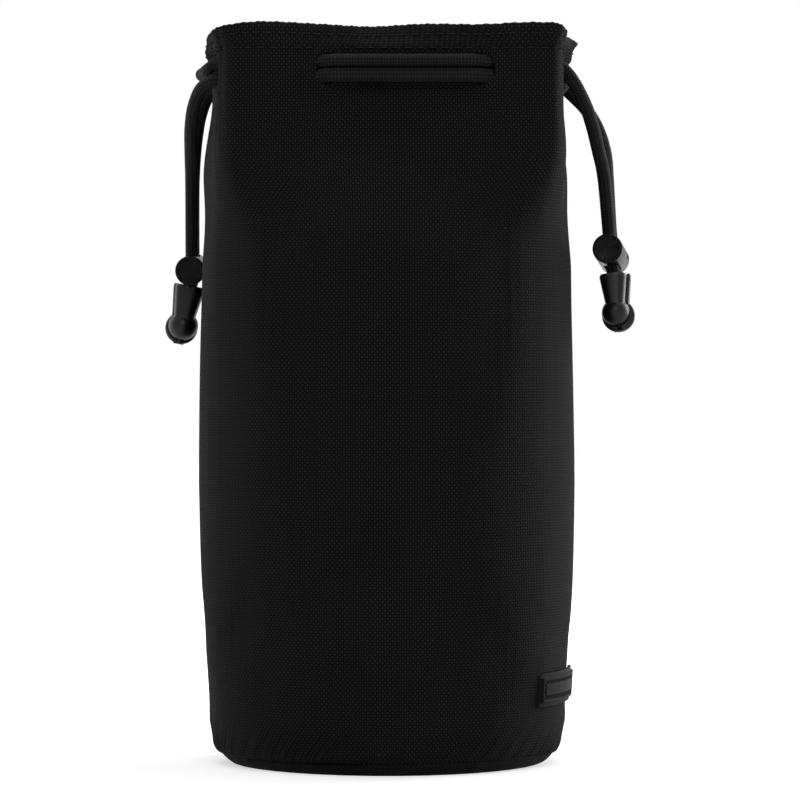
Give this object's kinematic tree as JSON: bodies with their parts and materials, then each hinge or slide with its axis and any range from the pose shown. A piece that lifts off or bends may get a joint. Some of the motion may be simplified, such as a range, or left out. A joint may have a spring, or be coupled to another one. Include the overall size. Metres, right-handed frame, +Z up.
{
  "type": "lens pouch",
  "caption": "Tall round padded pouch with a woven outer, foam wall and lining, gathered by drawcords through eyelets, with push cord locks, cord ends and a bare rubber patch.",
  "frame": {"origin": "middle of the underside of the base", "axes": "+Z up the pouch towards its mouth, -Y the front that the picture shows, +X to the right of that view"},
  "size_m": [0.142, 0.1112, 0.2192],
  "materials": {
    "woven_cloth": "plain woven nylon, matt, with a fine weave",
    "foam": "closed cell foam",
    "lining_cloth": "smooth brushed lining",
    "binding_tape": "grosgrain tape",
    "patch_rubber": "matt moulded rubber",
    "cord_braid": "round braid with a slight sheen",
    "moulded_plastic": "fine matt moulding",
    "black_metal": "black coating, worn bright on the rims",
    "spring_steel": "drawn wire"
  },
  "bodies": {
    "pouch": {"outer_shell": "woven_cloth", "foam_wall": "foam", "inner_lining": "lining_cloth", "base_shell": "woven_cloth", "base_foam": "foam", "base_lining": "lining_cloth", "base_binding": "binding_tape", "label_patch": "patch_rubber", "eyelet_right_rear": "black_metal", "washer_right_rear": "black_metal", "eyelet_back_right": "black_metal", "washer_back_right": "black_metal", "eyelet_back_left": "black_metal", "washer_back_left": "black_metal", "eyelet_left_rear": "black_metal", "washer_left_rear": "black_metal", "eyelet_left_front": "black_metal", "washer_left_front": "black_metal", "eyelet_front_left": "black_metal", "washer_front_left": "black_metal", "eyelet_front_right": "black_metal", "washer_front_right": "black_metal", "eyelet_right_front": "black_metal", "washer_right_front": "black_metal", "lower_drawcord_loop": "cord_braid", "upper_drawcord_loop": "cord_braid"},
    "left_tails": {"left_tail_front": "cord_braid", "left_tail_rear": "cord_braid", "left_knot": "cord_braid", "left_end_rear_shell": "moulded_plastic"},
    "left_lock": {"left_lock_barrel": "moulded_plastic", "left_lock_spring": "spring_steel"},
    "left_button": {"left_lock_plunger": "moulded_plastic"},
    "left_end_lid": {"left_end_front_shell": "moulded_plastic"},
    "right_tails": {"right_tail_front": "cord_braid", "right_tail_rear": "cord_braid", "right_knot": "cord_braid", "right_end_rear_shell": "moulded_plastic"},
    "right_lock": {"right_lock_barrel": "moulded_plastic", "right_lock_spring": "spring_steel"},
    "right_button": {"right_lock_plunger": "moulded_plastic"},
    "right_end_lid": {"right_end_front_shell": "moulded_plastic"}
  },
  "joints": [
    {"name": "left_tail_swing", "type": "hinge", "parent": "pouch", "child": "left_tails", "pos_m": [-0.05, 0, 0.2031], "axis": [0, 1, 0], "range_deg": [0, 120], "deforming": ["left_tail_front", "left_tail_rear"]},
    {"name": "left_lock_slide", "type": "slide", "parent": "left_tails", "child": "left_lock", "axis": [0, -0.0801, 0.9968], "range_m": [0, 0.02]},
    {"name": "left_button_press", "type": "slide", "parent": "left_lock", "child": "left_button", "axis": [-0.03, -0.9963, -0.0801], "range_m": [0, 0.002], "stiffness_N_per_m": 800, "springref_m": -0.002, "deforming": ["left_lock_spring"]},
    {"name": "left_end_open", "type": "hinge", "parent": "left_tails", "child": "left_end_lid", "pos_m": [-0.06378, 0.02404, 0.12607], "axis": [0.9815, -0.0143, -0.1907], "range_deg": [0, 100]},
    {"name": "right_tail_swing", "type": "hinge", "parent": "pouch", "child": "right_tails", "pos_m": [0.05, 0, 0.2074], "axis": [0, -1, 0], "range_deg": [0, 120], "deforming": ["right_tail_front", "right_tail_rear"]},
    {"name": "right_lock_slide", "type": "slide", "parent": "right_tails", "child": "right_lock", "axis": [-0.07, 0.1788, 0.9814], "range_m": [0, 0.02]},
    {"name": "right_button_press", "type": "slide", "parent": "right_lock", "child": "right_button", "axis": [-0.1654, -0.9723, 0.1654], "range_m": [0, 0.002], "stiffness_N_per_m": 800, "springref_m": -0.002, "deforming": ["right_lock_spring"]},
    {"name": "right_end_open", "type": "hinge", "parent": "right_tails", "child": "right_end_lid", "pos_m": [0.06956, -0.00415, 0.12935], "axis": [0.9836, -0.1503, 0.1002], "range_deg": [0, 100]}
  ]
}
